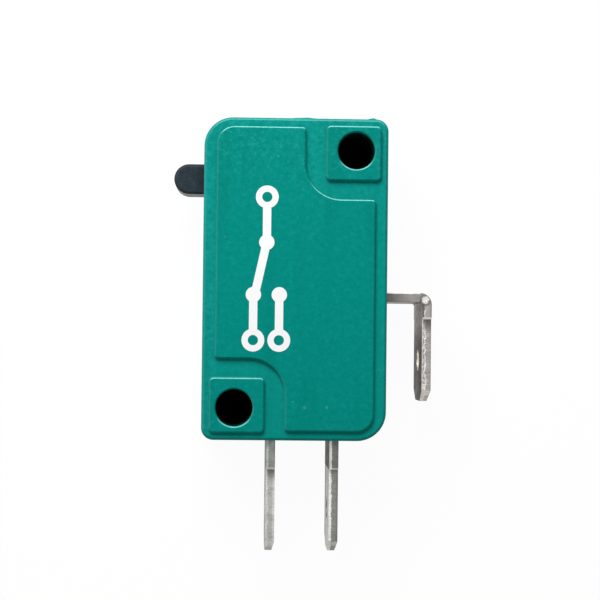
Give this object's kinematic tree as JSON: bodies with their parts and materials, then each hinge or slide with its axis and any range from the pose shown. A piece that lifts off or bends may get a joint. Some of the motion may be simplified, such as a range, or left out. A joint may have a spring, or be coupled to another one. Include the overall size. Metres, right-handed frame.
{
  "type": "micro limit switch",
  "caption": "Miniature snap-action limit switch: moulded housing with raised panel, flat round-tipped plunger, and flat quick-connect blade terminals, one of them bent alongside.",
  "frame": {"origin": "centre of the mounting hole nearest the two straight blades, at the back face of the housing", "axes": "+X from the plunger side to the side of the bent common terminal, +Y from the straight blades to the far end of the housing, +Z from the back face to the front cover"},
  "size_m": [0.0226, 0.0376, 0.0103],
  "materials": {
    "housing": "moulded, fine matt texture",
    "plunger": "moulded, slightly glossy",
    "terminal": "stamped, tin plated",
    "silver": "silver alloy, satin",
    "bronze": "stamped strip, satin",
    "steel": "plain, satin"
  },
  "bodies": {
    "switch_body": {"rear_case": "housing", "front_cover": "housing", "common_terminal": "terminal", "normally_closed_terminal": "terminal", "normally_open_terminal": "terminal", "normally_closed_contact": "silver", "normally_open_contact": "silver"},
    "plunger": {"plunger": "plunger"},
    "moving_arm": {"contact_arm": "bronze", "moving_contact": "silver"},
    "lever": {"actuating_lever": "steel"},
    "spring": {"tension_spring": "steel"}
  },
  "joints": [
    {"name": "plunger_slide", "type": "slide", "parent": "switch_body", "child": "plunger", "axis": [1, 0, 0], "range_m": [0, 0.0022], "stiffness_N_per_m": 400, "springref_m": -0.003},
    {"name": "lever_hinge", "type": "hinge", "parent": "switch_body", "child": "lever", "pos_m": [0.0069, 0.00978, 0.00515], "axis": [0, 0, 1], "range_deg": [-12.05, 0]},
    {"name": "arm_hinge", "type": "hinge", "parent": "switch_body", "child": "moving_arm", "pos_m": [0.00595, 0.00952, 0.00515], "axis": [0, 0, 1], "range_deg": [0, 3.62]},
    {"name": "spring_hinge", "type": "hinge", "parent": "lever", "child": "spring", "pos_m": [0.00529, 0.01731, 0.00515], "axis": [0, 0, 1], "range_deg": [0, 6.68]}
  ],
  "couplings": [
    {"joint": "lever_hinge", "follows": "plunger_slide", "rad_per_m": -95.524},
    {"joint": "arm_hinge", "follows": "plunger_slide", "rad_per_m": 28.686},
    {"joint": "spring_hinge", "follows": "plunger_slide", "rad_per_m": 52.925}
  ]
}
